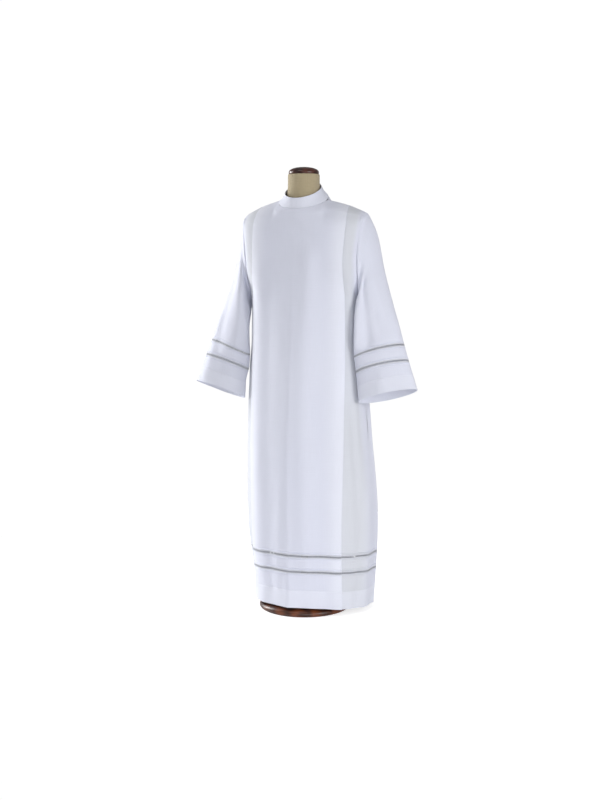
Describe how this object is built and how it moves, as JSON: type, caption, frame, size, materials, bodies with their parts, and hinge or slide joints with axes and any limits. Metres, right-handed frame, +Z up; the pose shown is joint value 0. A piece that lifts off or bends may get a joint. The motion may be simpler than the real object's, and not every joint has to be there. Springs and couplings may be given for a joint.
{
  "type": "alb robe on a dress form",
  "caption": "Long white vestment robe with a stand-up collar, wide straight sleeves and openwork insertions at hem and cuffs, on a limbless dress form.",
  "frame": {"origin": "centre of the dress form's foot, on the surface that it stands on", "axes": "+Z up along the form's pole, robe facing -Y, +X to the wearer's left"},
  "size_m": [0.858, 0.3656, 1.5897],
  "materials": {
    "alb_cloth": "matte plain weave",
    "openwork": "openwork ladder between stitched edges",
    "form_linen": "stretched linen",
    "base_wood": "dark stained and varnished",
    "cap_wood": "dark stained and varnished",
    "pole_metal": "satin"
  },
  "bodies": {
    "root": {"front_panel": "alb_cloth", "front_insertion_upper": "openwork", "front_band": "alb_cloth", "front_insertion_lower": "openwork", "front_hem": "alb_cloth", "back_panel": "alb_cloth", "back_insertion_upper": "openwork", "back_band": "alb_cloth", "back_insertion_lower": "openwork", "back_hem": "alb_cloth", "sleeve_left_panel": "alb_cloth", "sleeve_left_insertion_upper": "openwork", "sleeve_left_band": "alb_cloth", "sleeve_left_insertion_lower": "openwork", "sleeve_left_hem": "alb_cloth", "sleeve_right_panel": "alb_cloth", "sleeve_right_insertion_upper": "openwork", "sleeve_right_band": "alb_cloth", "sleeve_right_insertion_lower": "openwork", "sleeve_right_hem": "alb_cloth", "collar": "alb_cloth", "form_base": "base_wood", "form_pole": "pole_metal", "form_body": "form_linen", "form_cap": "cap_wood"}
  },
  "joints": []
}
